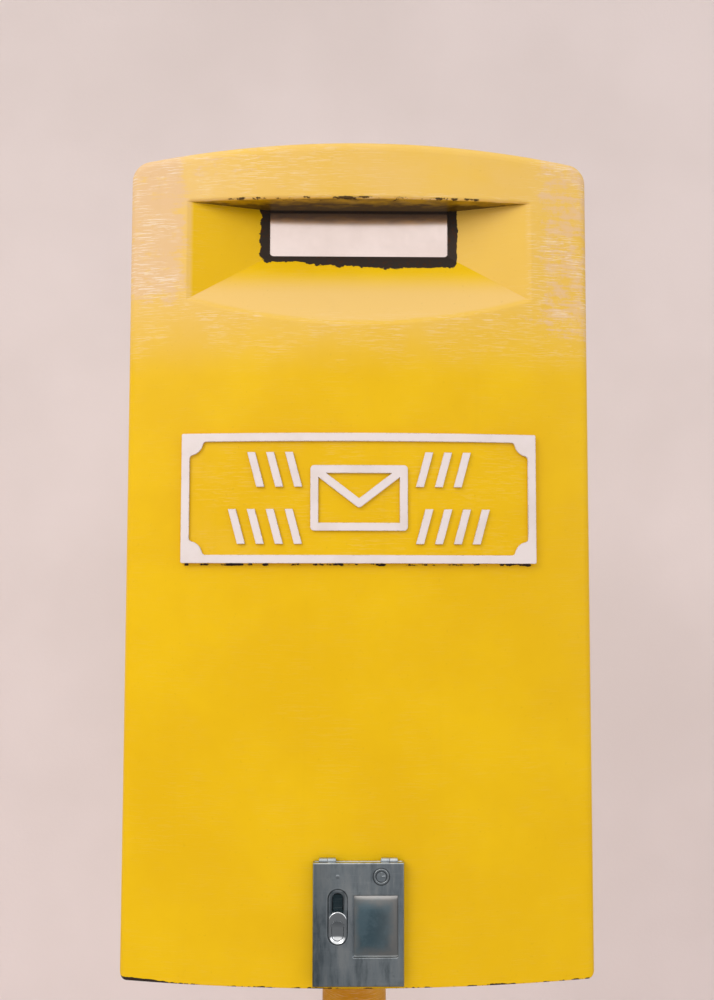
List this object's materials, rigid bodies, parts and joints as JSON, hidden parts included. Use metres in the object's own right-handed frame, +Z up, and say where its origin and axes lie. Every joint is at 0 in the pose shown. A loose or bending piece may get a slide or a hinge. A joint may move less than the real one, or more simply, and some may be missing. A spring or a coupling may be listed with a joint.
{
  "type": "post box on a post",
  "caption": "Bow-fronted yellow letter box with a flared slot, sign plate, hinged lock cover and floor door, clamped to a round post on a foot plate.",
  "frame": {"origin": "centre of the foot plate's underside, on the post's axis", "axes": "+Z up along the post, the bowed front faces -Y, +X to the viewer's right"},
  "size_m": [0.45, 0.5019, 1.5],
  "materials": {
    "yellow_paint": "worn semi-gloss yellow paint on steel",
    "pole_paint": "weathered yellow paint on steel",
    "white_paint": "aged white enamel on raised cast marks",
    "sign_paint": "smooth yellow enamel on a casting",
    "cover_steel": "scratched brushed steel",
    "flap_steel": "bright satin stainless steel",
    "tag_steel": "satin steel",
    "thumb_chrome": "polished",
    "zinc_steel": "dull zinc plate",
    "lock_brass": "worn brass",
    "seal_rubber": "matt black",
    "cap_plastic": "matt black"
  },
  "bodies": {
    "case": {"base_plate": "pole_paint", "base_gussets": "pole_paint", "post_tube": "pole_paint", "post_cap": "cap_plastic", "upper_saddle": "pole_paint", "lower_saddle": "pole_paint", "upper_ubolt": "zinc_steel", "lower_ubolt": "zinc_steel", "backing_plates": "zinc_steel", "clamp_washers": "zinc_steel", "clamp_nuts": "zinc_steel", "rear_case": "yellow_paint", "case_seal": "seal_rubber", "front_shell": "yellow_paint", "case_screws": "zinc_steel", "case_nuts": "zinc_steel", "flap_brackets": "zinc_steel", "flap_pin": "zinc_steel", "bracket_rivets": "zinc_steel", "baffle_plate": "zinc_steel", "sign_plate": "sign_paint", "sign_frame": "white_paint", "sign_emblem": "white_paint", "sign_nuts": "zinc_steel", "lock_plate": "cover_steel", "cover_pins": "zinc_steel", "plate_rivets": "zinc_steel", "lock_body": "lock_brass", "lock_nut": "zinc_steel", "case_leaf": "zinc_steel", "door_pin": "zinc_steel", "leaf_rivets": "zinc_steel"},
    "flap": {"slot_flap": "flap_steel"},
    "cover": {"lock_cover": "cover_steel", "tag_holder": "cover_steel", "time_tag": "tag_steel"},
    "catch": {"thumb_slide": "thumb_chrome", "catch_plate": "zinc_steel"},
    "lock_core": {"lock_plug": "lock_brass", "lock_cam": "zinc_steel", "cam_screw": "zinc_steel"},
    "door": {"floor_door": "yellow_paint", "door_leaf": "zinc_steel", "door_rivets": "zinc_steel", "strike": "zinc_steel", "strike_rivets": "zinc_steel"}
  },
  "joints": [
    {"name": "flap_swing", "type": "hinge", "parent": "case", "child": "flap", "pos_m": [0, -0.26435, 1.4516], "axis": [1, 0, 0], "range_deg": [0, 70]},
    {"name": "cover_swing", "type": "hinge", "parent": "case", "child": "cover", "pos_m": [0, -0.31445, 0.8162], "axis": [-1, 0, 0], "range_deg": [0, 105]},
    {"name": "catch_slide", "type": "slide", "parent": "cover", "child": "catch", "axis": [0, 0, 1], "range_m": [0, 0.014]},
    {"name": "lock_turn", "type": "hinge", "parent": "case", "child": "lock_core", "pos_m": [0.015, -0.28465, 0.742], "axis": [0, -1, 0], "range_deg": [0, 90]},
    {"name": "floor_door_swing", "type": "hinge", "parent": "case", "child": "door", "pos_m": [0, -0.05555, 0.704], "axis": [1, 0, 0], "range_deg": [0, 90]}
  ]
}
